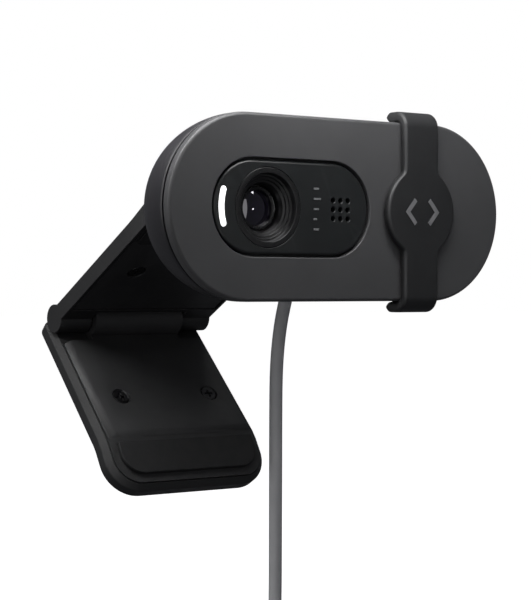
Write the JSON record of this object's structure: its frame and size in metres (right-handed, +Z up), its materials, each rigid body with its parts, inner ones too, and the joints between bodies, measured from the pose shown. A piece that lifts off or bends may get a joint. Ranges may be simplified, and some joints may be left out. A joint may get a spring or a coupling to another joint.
{
  "type": "clip-on webcam",
  "caption": "Pill-shaped webcam head with a sliding lens shutter, tilting on a folding screen clip, with a thin hanging lead, its spare length in a tied coil, ending in a plug.",
  "frame": {"origin": "middle of the arm's grip pad face, which rests on the screen's top edge", "axes": "+X to the right seen from the front, -Y out of the lens, +Z up; the arm slopes down to the back at 30 degrees"},
  "size_m": [0.0743, 0.0727, 0.1697],
  "materials": {
    "front_plastic": "satin, fine grain",
    "rear_plastic": "satin, fine grain",
    "window_plastic": "smooth satin",
    "hood_plastic": "smooth satin",
    "barrel_plastic": "semi-gloss",
    "lens_glass": "coated",
    "inner_glass": "coated",
    "holder_plastic": "moulded",
    "filter_glass": "coated",
    "sensor": "polished",
    "circuit_board": "solder resist",
    "chip_plastic": "moulded",
    "microphone_metal": "plated",
    "gasket_foam": "matt",
    "led_body": "gloss",
    "light_pipe": "translucent white",
    "screw_steel": "zinc plated",
    "mark_ink": "printed",
    "connector_nylon": "moulded",
    "relief_rubber": "matt",
    "lead_sheath": "satin",
    "bracket_plastic": "fine texture",
    "tie_strap": "woven",
    "plug_plastic": "matt",
    "plug_steel": "bright nickel",
    "tongue_plastic": "moulded",
    "contact_gold": "gold plated",
    "band_plastic": "satin",
    "clip_plastic": "fine texture",
    "clip_inner_plastic": "fine texture",
    "black_screw": "black",
    "pad_rubber": "matt",
    "washer_nylon": "moulded"
  },
  "bodies": {
    "arm": {"arm_cover": "clip_plastic", "arm_inner_plate": "clip_inner_plastic", "arm_screws": "black_screw", "arm_grip_pad": "pad_rubber", "tilt_pin": "screw_steel", "tilt_washers": "washer_nylon", "leg_pin": "screw_steel", "leg_washers": "washer_nylon"},
    "head": {"front_shell": "front_plastic", "rear_shell": "rear_plastic", "window_panel": "window_plastic", "lens_hood": "hood_plastic", "lens_barrel": "barrel_plastic", "front_glass": "lens_glass", "inner_lenses": "inner_glass", "lens_holder": "holder_plastic", "ir_filter": "filter_glass", "image_sensor": "sensor", "main_board": "circuit_board", "board_chips": "chip_plastic", "microphone": "microphone_metal", "mic_gasket": "gasket_foam", "status_led": "led_body", "light_pipe": "light_pipe", "board_screws": "screw_steel", "panel_marks": "mark_ink", "board_connector": "connector_nylon", "strain_relief": "relief_rubber", "inner_lead": "lead_sheath", "tilt_bracket": "bracket_plastic", "bracket_screws": "screw_steel", "cord_run": "lead_sheath", "cord_coil": "lead_sheath", "cord_tail": "lead_sheath", "cord_tie": "tie_strap", "plug_overmould": "plug_plastic", "plug_shell": "plug_steel", "plug_tongue": "tongue_plastic", "plug_contacts": "contact_gold"},
    "shutter": {"shutter_band": "band_plastic", "slide_mark": "mark_ink"},
    "leg": {"leg_cover": "clip_plastic", "leg_inner_plate": "clip_inner_plastic", "leg_screws": "black_screw", "leg_pad": "pad_rubber"}
  },
  "joints": [
    {"name": "head_tilt", "type": "hinge", "parent": "arm", "child": "head", "pos_m": [0, -0.01028, 0.00709], "axis": [1, 0, 0], "range_deg": [-60, 30]},
    {"name": "shutter_slide", "type": "slide", "parent": "head", "child": "shutter", "axis": [-1, 0, 0], "range_m": [0, 0.03]},
    {"name": "leg_fold", "type": "hinge", "parent": "arm", "child": "leg", "pos_m": [0, 0.03035, -0.01573], "axis": [1, 0, 0], "range_deg": [-67, 105]}
  ]
}
